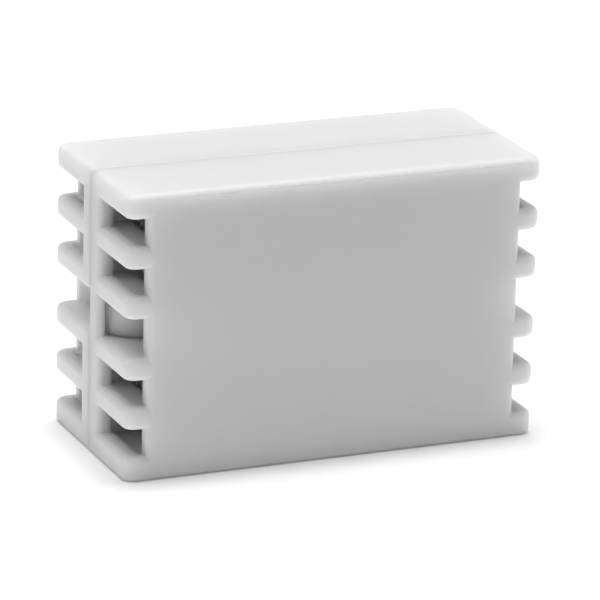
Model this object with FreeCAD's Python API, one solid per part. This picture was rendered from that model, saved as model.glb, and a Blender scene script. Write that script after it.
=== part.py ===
import FreeCAD, Part
import math
import os

# Slotted two-half cage for a water tank, with folded silver mesh pads inside.
# +Z is up, X runs along the length, Y from the front (-Y) to the rear (+Y).
# The origin is the middle of the base. Sizes are in millimetres.
# The two halves are one moulding: the rear half is the front one turned about +Z.

# Outer box of the closed cage
LENGTH = 50.0
DEPTH = 23.2
HEIGHT = 33.0
CORNER_RADIUS = 1.5
RIM_RADIUS = 0.9
FOOT_CHAMFER = 0.35

# Fine line the mould leaves along the rounded rim, above the front face
LINE_RADIUS = 0.2
LINE_DEPTH = 0.13
LINE_ANGLE = 20.0

# Walls, and the comb of ribs and slots at each end
END_WALL = 1.8
SIDE_WALL = 1.6
PLATE_WALL = 1.8
LIP = 2.1
RIB = 2.5
SLOT = 3.2
MIDDLE_SLOT = 4.6
SLOT_WRAP = 2.6
MULLION_HALF = 2.6
MOUTH_RADIUS = 0.7
ROOT_SPREAD = 1.0
RIB_COUNT = 4

# Joint between the two halves
SEAM_GAP = 0.05
SEAM_RADIUS = 0.35

# Shelves beside the middle channel, and the deeper ledge behind each rib
SHELF = 1.3
LEDGE_REACH = 4.7
LEDGE_STEP = 0.4

# Round lug on a neck that each half pushes into the other
LUG_RADIUS = 4.6
LUG_SKIN = 0.9
LUG_PLAY = 0.1
NECK_HALF = 1.6
CHEEK = 1.2

# Folded silver mesh pads
PAD_PLAY = 0.3
PAD_RADIUS = 1.2

HALF_LENGTH = LENGTH / 2
HALF_DEPTH = DEPTH / 2
INNER_X = HALF_LENGTH - END_WALL
INNER_Y = HALF_DEPTH - SIDE_WALL
SEAM_Y = SEAM_GAP / 2
END_PLATE = (HEIGHT - MIDDLE_SLOT - RIB_COUNT * (RIB + SLOT)) / 2
CHANNEL_LOW = (HEIGHT - MIDDLE_SLOT) / 2
CHANNEL_HIGH = CHANNEL_LOW + MIDDLE_SLOT
LUG_X = HALF_LENGTH - LUG_SKIN - LUG_PLAY - LUG_RADIUS
BEYOND = 1.0
NEAR = 0.01


def box(x0, x1, y0, y1, z0, z1):
    """A box between its lowest and highest corners."""
    return Part.makeBox(x1 - x0, y1 - y0, z1 - z0, FreeCAD.Vector(x0, y0, z0))


def middle_of(edge):
    return edge.valueAt((edge.FirstParameter + edge.LastParameter) / 2)


def rib_levels():
    """Heights of the undersides of the four ribs, from the lowest up."""
    lower = [END_PLATE + SLOT + step * (RIB + SLOT) for step in range(RIB_COUNT // 2)]
    upper = [HEIGHT - level - RIB for level in reversed(lower)]
    return lower + upper


def outer_half():
    """The front half as a solid block, rounded outside, with its seam rim eased above the foot."""
    block = box(-HALF_LENGTH, HALF_LENGTH, -HALF_DEPTH, HALF_DEPTH, 0, HEIGHT)
    upright = [edge for edge in block.Edges if abs(middle_of(edge).z - HEIGHT / 2) < NEAR]
    block = block.makeFillet(CORNER_RADIUS, upright)
    top = [edge for edge in block.Edges if middle_of(edge).z > HEIGHT - NEAR]
    block = block.makeFillet(RIM_RADIUS, top)
    foot = [edge for edge in block.Edges if middle_of(edge).z < NEAR]
    block = block.makeChamfer(FOOT_CHAMFER, foot)
    half = block.common(box(-LENGTH, LENGTH, -DEPTH, -SEAM_Y, -HEIGHT, 2 * HEIGHT))
    rim = [edge for edge in half.Edges if abs(middle_of(edge).y + SEAM_Y) < NEAR
           and middle_of(edge).z > FOOT_CHAMFER]
    return half.makeFillet(SEAM_RADIUS, rim)


def mould_line():
    """The fine line along the rounded rim above the front face, as a bar to cut away."""
    angle = math.radians(LINE_ANGLE)
    away = RIM_RADIUS + LINE_RADIUS - LINE_DEPTH
    y = -HALF_DEPTH + RIM_RADIUS - away * math.cos(angle)
    z = HEIGHT - RIM_RADIUS + away * math.sin(angle)
    reach = HALF_LENGTH - CORNER_RADIUS
    start = FreeCAD.Vector(-reach, y, z)
    return Part.makeCylinder(LINE_RADIUS, 2 * reach, start, FreeCAD.Vector(1, 0, 0))


def window(end):
    """The opening round the corner at one end, which the ribs then cross."""
    x0, x1 = sorted((end * (HALF_LENGTH + BEYOND), end * (HALF_LENGTH - SLOT_WRAP)))
    return box(x0, x1, -HALF_DEPTH - BEYOND, -MULLION_HALF, END_PLATE, HEIGHT - END_PLATE)


def lug_notch():
    """The gap in the upright beside this half's own lug, at the right-hand end."""
    return box(HALF_LENGTH - SLOT_WRAP, HALF_LENGTH + BEYOND, -MULLION_HALF - BEYOND, BEYOND,
               CHANNEL_LOW, CHANNEL_HIGH)


def is_mouth_edge(edge):
    """True for an outer edge of a window or of the lug notch."""
    at = middle_of(edge)
    past_upright = at.y < -MULLION_HALF + NEAR
    in_window = END_PLATE - NEAR < at.z < HEIGHT - END_PLATE + NEAR
    on_end = abs(at.x) > HALF_LENGTH - NEAR
    on_front = at.y < -HALF_DEPTH + NEAR and abs(at.x) > HALF_LENGTH - SLOT_WRAP - NEAR
    on_corner = abs(at.x) > HALF_LENGTH - CORNER_RADIUS and at.y < -HALF_DEPTH + CORNER_RADIUS
    beside_notch = min(abs(at.z - CHANNEL_LOW), abs(at.z - CHANNEL_HIGH)) < NEAR
    if not in_window:
        return False
    if past_upright:
        return on_end or on_front or on_corner
    return on_end and beside_notch and at.x > 0 and at.y < -SEAM_Y - SEAM_RADIUS


def rib(level, end):
    """One rib round the corner at one end, with its outer edges rounded over."""
    plan = box(-HALF_LENGTH, HALF_LENGTH, -HALF_DEPTH, HALF_DEPTH, level, level + RIB)
    upright = [edge for edge in plan.Edges if abs(middle_of(edge).z - level - RIB / 2) < NEAR]
    plan = plan.makeFillet(CORNER_RADIUS, upright)
    level_edges = [edge for edge in plan.Edges if abs(middle_of(edge).z - level - RIB / 2) > NEAR]
    plan = plan.makeFillet(MOUTH_RADIUS, level_edges)
    hollow = box(-INNER_X, INNER_X, -INNER_Y, INNER_Y, level - BEYOND, level + RIB + BEYOND)
    x0, x1 = sorted((end * HALF_LENGTH, end * (HALF_LENGTH - SLOT_WRAP - ROOT_SPREAD)))
    corner = box(x0, x1, -HALF_DEPTH, -MULLION_HALF + ROOT_SPREAD, level, level + RIB)
    return plan.cut(hollow).common(corner)


def ledge(level, end):
    """The deeper part behind a rib, level with it at the channel and a step below it elsewhere."""
    at_channel = abs(level + RIB - CHANNEL_LOW) < NEAR
    top = level + RIB - (0 if at_channel else LEDGE_STEP)
    x0, x1 = sorted((end * (INNER_X + LEDGE_STEP), end * (HALF_LENGTH - LEDGE_REACH)))
    return box(x0, x1, -INNER_Y - SIDE_WALL / 2, -SEAM_Y - SEAM_RADIUS, level, top)


def chambers():
    """The hollows inside: two chambers, each deepened into its plate behind the lips, and the channel."""
    lip_x = HALF_LENGTH - LIP
    deep_top = HEIGHT - PLATE_WALL
    shapes = [(INNER_X, END_PLATE, CHANNEL_LOW - SHELF),
              (lip_x, PLATE_WALL, END_PLATE),
              (INNER_X, CHANNEL_LOW, CHANNEL_HIGH),
              (INNER_X, CHANNEL_HIGH + SHELF, HEIGHT - END_PLATE),
              (lip_x, HEIGHT - END_PLATE, deep_top)]
    return [box(-reach, reach, -INNER_Y, BEYOND, low, high) for reach, low, high in shapes]


def lug():
    """This half's own lug at the right-hand end: a round head on a neck."""
    low = CHANNEL_LOW + LUG_PLAY
    tall = MIDDLE_SLOT - 2 * LUG_PLAY
    head = Part.makeCylinder(LUG_RADIUS, tall, FreeCAD.Vector(LUG_X, 0, low))
    neck = box(LUG_X - NECK_HALF, LUG_X + NECK_HALF, -INNER_Y - SIDE_WALL / 2, 0, low, low + tall)
    return head.fuse(neck)


def lug_pocket():
    """The room behind the thinned upright at the left-hand end, where the other lug goes."""
    return box(-HALF_LENGTH + LUG_SKIN, -INNER_X + BEYOND, -MULLION_HALF - BEYOND, BEYOND,
               CHANNEL_LOW, CHANNEL_HIGH)


def cheek():
    """The guide wall beside the other half's lug, on its inward side."""
    face = -LUG_X + LUG_RADIUS + LUG_PLAY
    return box(face, face + CHEEK, -INNER_Y - SIDE_WALL / 2, -SEAM_Y - SEAM_RADIUS,
               CHANNEL_LOW - SHELF / 2, CHANNEL_HIGH + SHELF / 2)


def shell():
    """One half of the cage, as it stands at the front."""
    body = outer_half()
    for end in (-1, 1):
        body = body.cut(window(end))
    body = body.cut(lug_notch())
    body = body.makeFillet(MOUTH_RADIUS, [edge for edge in body.Edges if is_mouth_edge(edge)])
    for hollow in chambers():
        body = body.cut(hollow)
    body = body.cut(lug_pocket())
    body = body.cut(mould_line())
    levels = rib_levels()
    added = [rib(level, end) for level in levels for end in (-1, 1)]
    added += [ledge(level, end) for level in levels for end in (-1, 1)]
    added += [lug(), cheek()]
    return body.multiFuse(added)


def mesh_pad(low, high):
    """A folded pad that fills a chamber between the ledges."""
    reach_x = HALF_LENGTH - LEDGE_REACH - PAD_PLAY
    reach_y = INNER_Y - PAD_PLAY
    block = box(-reach_x, reach_x, -reach_y, reach_y, low + PAD_PLAY, high - PAD_PLAY)
    return block.makeFillet(PAD_RADIUS, block.Edges)


front = shell()
rear = front.copy()
rear.rotate(FreeCAD.Vector(0, 0, 0), FreeCAD.Vector(0, 0, 1), 180)

pieces = {
    "front_shell": front,
    "rear_shell": rear,
    "lower_mesh_pad": mesh_pad(PLATE_WALL, CHANNEL_LOW - SHELF),
    "upper_mesh_pad": mesh_pad(CHANNEL_HIGH + SHELF, HEIGHT - PLATE_WALL),
}

os.makedirs("parts", exist_ok=True)
for name, shape in pieces.items():
    print(name, "valid", shape.isValid(), "solids", len(shape.Solids), "volume", round(shape.Volume))
    shape.exportStep(f"parts/{name}.step")
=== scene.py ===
import math

import bpy
from mathutils import Matrix, Vector


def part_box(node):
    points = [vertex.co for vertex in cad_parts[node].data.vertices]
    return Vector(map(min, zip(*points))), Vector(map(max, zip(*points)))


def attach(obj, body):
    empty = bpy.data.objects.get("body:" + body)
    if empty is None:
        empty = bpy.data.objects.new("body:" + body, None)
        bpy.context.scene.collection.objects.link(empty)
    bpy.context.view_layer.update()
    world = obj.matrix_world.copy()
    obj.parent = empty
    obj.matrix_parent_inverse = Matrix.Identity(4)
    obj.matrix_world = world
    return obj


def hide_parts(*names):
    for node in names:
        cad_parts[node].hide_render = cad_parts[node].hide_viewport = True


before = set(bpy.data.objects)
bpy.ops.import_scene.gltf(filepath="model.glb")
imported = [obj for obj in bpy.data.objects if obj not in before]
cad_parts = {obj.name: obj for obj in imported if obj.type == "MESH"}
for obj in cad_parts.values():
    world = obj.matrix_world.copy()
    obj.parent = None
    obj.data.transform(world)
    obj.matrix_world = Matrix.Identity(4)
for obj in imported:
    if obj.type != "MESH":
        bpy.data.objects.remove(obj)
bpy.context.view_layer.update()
bpy.ops.object.select_all(action="DESELECT")

# ---------------------------------------------------------------------------------------
# Cage halves. Each is one injection moulding in white polypropylene, a little translucent,
# with a satin tool finish. The rear half is the front one turned round, pressed on by lugs.
# ---------------------------------------------------------------------------------------


class Signal:
    """A shader socket that takes part in Python arithmetic by adding Math nodes."""

    def __init__(self, make, socket):
        self.make = make
        self.socket = socket

    def _math(self, operation, first, second):
        return self.make.node("ShaderNodeMath", {"operation": operation}, {0: first, 1: second})

    def __add__(self, other):
        return self._math("ADD", self, other)

    __radd__ = __add__

    def __sub__(self, other):
        return self._math("SUBTRACT", self, other)

    def __rsub__(self, other):
        return self._math("SUBTRACT", other, self)

    def __mul__(self, other):
        return self._math("MULTIPLY", self, other)

    __rmul__ = __mul__

    def above(self, level, width):
        """0 below the level and 1 above it, with a soft step of the given width."""
        settings = {"interpolation_type": "SMOOTHSTEP"}
        ends = {"From Min": level - width / 2, "From Max": level + width / 2}
        return self.make.node("ShaderNodeMapRange", settings, {"Value": self, **ends}, "Result")


class Finish:
    """A new material with its Principled shader, and the nodes that feed it."""

    def __init__(self, name):
        self.material = bpy.data.materials.new(name)
        self.material.use_nodes = True
        self.tree = self.material.node_tree
        self.shader = self.tree.nodes["Principled BSDF"]
        self.place = self.node("ShaderNodeTexCoord", {}, {}, "Object")

    def node(self, kind, settings, values, output=0):
        made = self.tree.nodes.new(kind)
        for key, value in settings.items():
            setattr(made, key, value)
        for key, value in values.items():
            self.feed(made.inputs[key], value)
        return Signal(self, made.outputs[output])

    def feed(self, socket, value):
        if isinstance(value, Signal):
            self.tree.links.new(value.socket, socket)
        else:
            socket.default_value = value

    def noise(self, grain, detail, roughness, place=None):
        """Even noise from 0 to 1 with features of about the given size in metres."""
        values = {"Vector": place or self.place, "Scale": 1 / grain}
        values.update({"Detail": detail, "Roughness": roughness})
        return self.node("ShaderNodeTexNoise", {}, values, "Fac")

    def stretched(self, scale):
        """Object coordinates stretched along an axis, for marks that run one way."""
        return self.node("ShaderNodeMapping", {}, {"Vector": self.place, "Scale": scale})

    def blend(self, amount, first, second):
        values = {"Factor": amount, 6: first, 7: second}
        return self.node("ShaderNodeMix", {"data_type": "RGBA"}, values, 2)

    def bump(self, height, depth):
        """A normal from a height of 0 to 1 that stands for the given depth in metres."""
        return self.node("ShaderNodeBump", {}, {"Height": height, "Distance": depth})

    def set(self, **values):
        for key, value in values.items():
            self.feed(self.shader.inputs[key.replace("_", " ").title()], value)


def white_plastic():
    """Satin white polypropylene: fine tool grain, faint flow mottling and handling rubs."""
    shade = (0.77, 0.77, 0.77, 1)
    worn_shade = (0.73, 0.73, 0.73, 1)
    finish = Finish("white_plastic")
    grain = finish.noise(0.00016, 3.0, 0.6)
    mottle = finish.noise(0.006, 3.0, 0.55)
    rubs = finish.noise(0.0011, 4.0, 0.7, finish.stretched((0.18, 1, 1))).above(0.66, 0.12)
    finish.set(
        base_color=finish.blend(0.35 * mottle, shade, worn_shade),
        roughness=0.40 + 0.10 * mottle + 0.06 * grain - 0.04 * rubs,
        normal=finish.bump(0.7 * grain + 0.3 * mottle, 0.000012),
    )
    finish.shader.inputs["IOR"].default_value = 1.49
    finish.shader.inputs["Subsurface Weight"].default_value = 0.9
    finish.shader.inputs["Subsurface Radius"].default_value = (1, 1, 1)
    finish.shader.inputs["Subsurface Scale"].default_value = 0.0045
    return finish.material


plastic = white_plastic()
for half in ("front_shell", "rear_shell"):
    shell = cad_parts[half]
    shell.data.materials.clear()
    shell.data.materials.append(plastic)

# ---------------------------------------------------------------------------------------
# Mesh pads. Each is a strip of silver-coated wire net, pleated to fit its chamber and
# laid in between the shelves before the halves are pressed together.
# ---------------------------------------------------------------------------------------


def silver_wire():
    """Silver-coated thread, dull where it has tarnished."""
    bright = (0.62, 0.61, 0.60, 1)
    tarnish = (0.20, 0.19, 0.18, 1)
    finish = Finish("silver_wire")
    patches = finish.noise(0.004, 4.0, 0.6).above(0.5, 0.35)
    grain = finish.noise(0.0003, 2.0, 0.5)
    finish.set(
        base_color=finish.blend(patches, bright, tarnish),
        metallic=0.9 - 0.4 * patches,
        roughness=0.38 + 0.25 * patches,
        normal=finish.bump(grain, 0.00003),
    )
    return finish.material


def selected_mesh(test, kind="VERT"):
    """Selects the active mesh's vertices or edges whose middle passes the test, in edit mode."""
    bpy.ops.object.mode_set(mode="OBJECT")
    mesh = bpy.context.object.data
    for group in (mesh.vertices, mesh.edges, mesh.polygons):
        group.foreach_set("select", [False] * len(group))
    if kind == "VERT":
        for vertex in mesh.vertices:
            vertex.select = test(vertex.co)
    else:
        for edge in mesh.edges:
            a, b = (mesh.vertices[i].co for i in edge.vertices)
            edge.select = test((a + b) / 2)
    bpy.ops.object.mode_set(mode="EDIT")
    bpy.ops.mesh.select_mode(type=kind)


def cut_across(test, cuts):
    """Divides the edges whose middle passes the test, and the faces between them."""
    selected_mesh(test, "EDGE")
    bpy.ops.mesh.subdivide(number_cuts=cuts)


def pleated_strip(name, low, high, pleats, cell):
    """A strip in upright layers joined by round folds, divided into square cells."""
    fold = (high.y - low.y) / pleats / 2
    base = low.z + fold
    top = high.z - fold
    bpy.ops.object.select_all(action="DESELECT")
    bpy.ops.mesh.primitive_plane_add(size=1, location=(0, 0, 0), rotation=(math.pi / 2, 0, 0))
    strip = bpy.context.object
    strip.name = name
    bpy.ops.object.transform_apply(location=True, rotation=True, scale=True)
    place = Matrix.Translation((0, low.y + fold, (base + top) / 2))
    strip.data.transform(place @ Matrix.Diagonal((high.x - low.x, 1, top - base, 1)))
    near = 0.00001
    y = low.y + fold
    for layer in range(pleats - 1):
        rim, far = (top, base) if layer % 2 == 0 else (base, top)
        selected_mesh(lambda at: abs(at.z - rim) < near and abs(at.y - y) < near, "EDGE")
        turn = math.pi if rim == top else -math.pi
        bpy.ops.mesh.spin(steps=3, angle=turn, center=(0, y + fold, rim), axis=(1, 0, 0))
        y += 2 * fold
        selected_mesh(lambda at: abs(at.z - rim) < near and abs(at.y - y) < near, "EDGE")
        bpy.ops.mesh.extrude_region_move(TRANSFORM_OT_translate={"value": (0, 0, far - rim)})
    across = round((high.x - low.x) / cell)
    upward = round((top - base) / cell)
    cut_across(lambda at: abs(at.x) < near, across - 1)
    middle = (base + top) / 2
    cut_across(lambda at: abs(at.z - middle) < near, upward - 1)
    bpy.ops.object.mode_set(mode="OBJECT")
    return strip


def knit(strip, wire):
    """Turns the strip's square cells into a diamond net of round-looking wire."""
    corners = len(strip.data.vertices)
    selected_mesh(lambda at: True)
    bpy.ops.mesh.select_all(action="SELECT")
    bpy.ops.mesh.poke()
    selected_mesh(lambda at: False, "EDGE")
    bpy.ops.object.mode_set(mode="OBJECT")
    for edge in strip.data.edges:
        edge.select = max(edge.vertices) < corners
    bpy.ops.object.mode_set(mode="EDIT")
    bpy.ops.mesh.dissolve_edges(use_verts=False)
    bpy.ops.object.mode_set(mode="OBJECT")
    net = strip.modifiers.new("wire", "WIREFRAME")
    net.thickness = wire
    net.use_even_offset = False
    bpy.ops.object.modifier_apply(modifier="wire")


def crumple(strip, amount):
    """Uneven pleats: the layers lean and wave, as a springy net does."""
    waves = bpy.data.textures.new(strip.name + "_waves", "CLOUDS")
    waves.noise_scale = 0.006
    for axis in ("Y", "Z"):
        lean = strip.modifiers.new("lean", "DISPLACE")
        lean.texture = waves
        lean.texture_coords = "LOCAL"
        lean.direction = axis
        lean.strength = amount
        bpy.ops.object.modifier_apply(modifier="lean")


def mesh_pad(name, node):
    """A pleated pad that fills its chamber."""
    low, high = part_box(node)
    pleats = 12
    wire = 0.00022
    cell = 0.00095
    sway = 0.0012
    end_play = 0.0003
    margin = Vector((end_play, sway / 2 + wire, sway / 2 + wire))
    pad = pleated_strip(name, low + margin, high - margin, pleats, cell)
    crumple(pad, sway)
    knit(pad, wire)
    return pad


silver = silver_wire()
for name, node in (("lower_mesh", "lower_mesh_pad"), ("upper_mesh", "upper_mesh_pad")):
    pad = mesh_pad(name, node)
    pad.data.materials.append(silver)
    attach(pad, "front_half")
    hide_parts(node)

# ---------------------------------------------------------------------------------------
# Table top, studio light and camera.
# ---------------------------------------------------------------------------------------


def table_top():
    """Plain matt white table."""
    finish = Finish("white_table")
    speck = finish.noise(0.002, 3.0, 0.6)
    paint = (0.97, 0.97, 0.97, 1)
    dust = (0.94, 0.94, 0.94, 1)
    finish.set(base_color=finish.blend(0.1 * speck, paint, dust), roughness=0.75)
    finish.shader.inputs["Emission Color"].default_value = (1, 1, 1, 1)
    finish.shader.inputs["Emission Strength"].default_value = 0.05
    finish.shader.inputs["Specular IOR Level"].default_value = 0.2
    bpy.ops.mesh.primitive_plane_add(size=6, location=(0, 0, 0))
    floor = bpy.context.object
    floor.name = "table_top"
    floor.data.materials.append(finish.material)


def soft_light(name, place, size, power):
    """A square soft box that points at the middle of the cage."""
    data = bpy.data.lights.new(name, "AREA")
    data.size = size
    data.energy = power
    lamp = bpy.data.objects.new(name, data)
    bpy.context.scene.collection.objects.link(lamp)
    lamp.location = place
    middle = Vector((0, 0, 0.015))
    aim = middle - lamp.location
    lamp.rotation_mode = "QUATERNION"
    lamp.rotation_quaternion = aim.to_track_quat("-Z", "Y")


def camera():
    """Long lens from the front left, a little above, with a slight roll."""
    azimuth, elevation, roll = 0.409, 0.313, 0.025
    distance = 0.50818
    aim = Vector((0.00057, 0, 0.015121))
    look = Vector((math.sin(azimuth) * math.cos(elevation),
                   math.cos(azimuth) * math.cos(elevation), -math.sin(elevation)))
    right = look.cross(Vector((0, 0, 1))).normalized()
    up = right.cross(look)
    across = math.cos(roll) * right + math.sin(roll) * up
    above = math.cos(roll) * up - math.sin(roll) * right
    data = bpy.data.cameras.new("camera")
    data.lens = 268.1
    data.sensor_width = 36
    data.clip_start = 0.01
    data.clip_end = 20
    view = bpy.data.objects.new("camera", data)
    bpy.context.scene.collection.objects.link(view)
    turn = Matrix((across, above, -look)).transposed()
    view.matrix_world = Matrix.Translation(aim - distance * look) @ turn.to_4x4()
    bpy.context.scene.camera = view


table_top()
soft_light("overhead_box", (-0.1, 0.15, 0.9), 1.0, 6.6)
soft_light("top_spot", (0.03, 0.04, 0.9), 0.15, 3.0)
soft_light("left_box", (-0.8, -0.02, 0.38), 0.4, 0.58)
soft_light("right_box", (0.8, 0.0, 0.28), 0.4, 1.6)
world = bpy.data.worlds.new("studio")
world.use_nodes = True
world.node_tree.nodes["Background"].inputs["Color"].default_value = (1, 1, 1, 1)
world.node_tree.nodes["Background"].inputs["Strength"].default_value = 0.135
bpy.context.scene.world = world
bpy.context.scene.view_settings.view_transform = "Standard"
camera()
